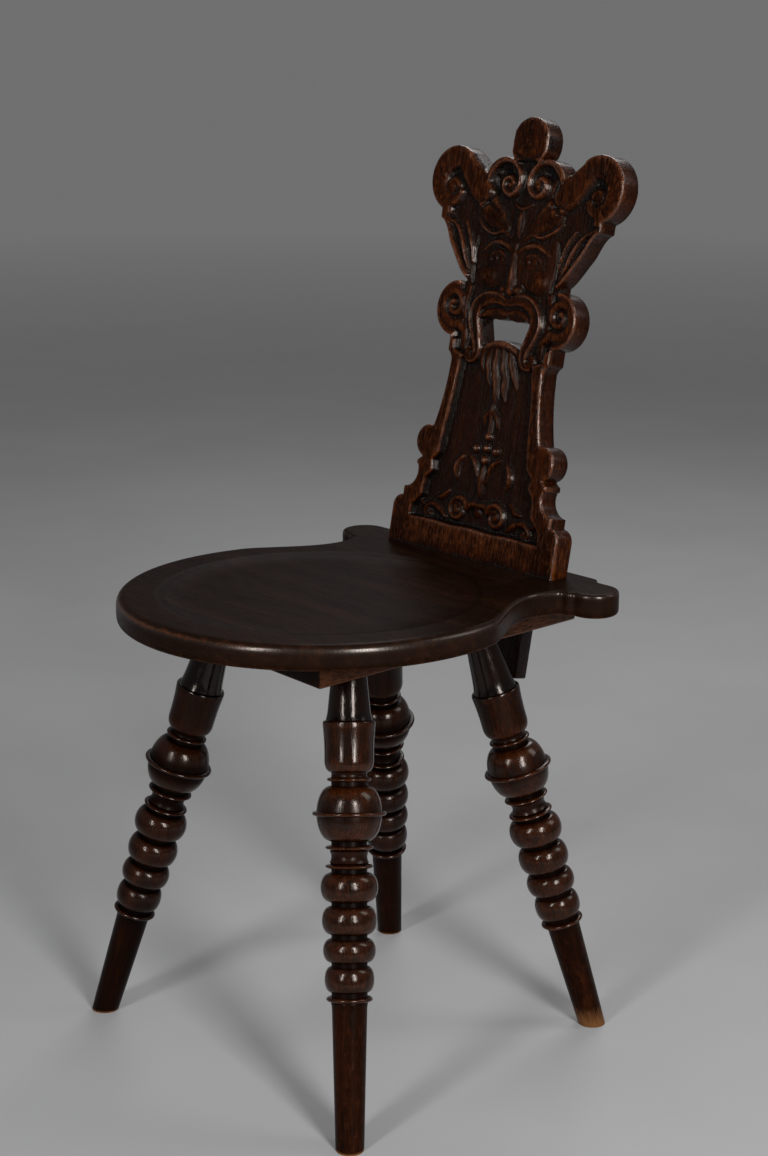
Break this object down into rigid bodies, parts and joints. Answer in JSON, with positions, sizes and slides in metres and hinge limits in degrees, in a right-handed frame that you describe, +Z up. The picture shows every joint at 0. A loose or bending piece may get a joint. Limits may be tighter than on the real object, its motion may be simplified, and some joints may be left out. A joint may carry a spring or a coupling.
{
  "type": "plank chair",
  "caption": "Plank chair with a round waisted seat, splayed turned legs and a raked back board carved with a horned mask whose pierced mouth is a hand grip.",
  "frame": {"origin": "on the floor, under the middle of the chair's box", "axes": "+Z up, +Y from the front of the seat to the back board, +X to the right as seen from the front"},
  "size_m": [0.4107, 0.4834, 0.8838],
  "materials": {
    "seat_oak": "dark stained oak, waxed to a soft gloss",
    "leg_oak": "dark red-brown stained oak, turned and polished",
    "carved_oak": "stained oak, carved, dark in the recesses and worn on the edges",
    "batten_oak": "thinly stained oak, matt"
  },
  "bodies": {
    "root": {"seat": "seat_oak", "batten_left": "batten_oak", "batten_right": "batten_oak", "back_board": "carved_oak", "back_wedge_left": "batten_oak", "back_wedge_right": "batten_oak", "leg_front_left": "leg_oak", "leg_front_right": "leg_oak", "leg_rear_left": "leg_oak", "leg_rear_right": "leg_oak", "leg_wedge_front_left": "batten_oak", "leg_wedge_front_right": "batten_oak", "leg_wedge_rear_left": "batten_oak", "leg_wedge_rear_right": "batten_oak"}
  },
  "joints": []
}
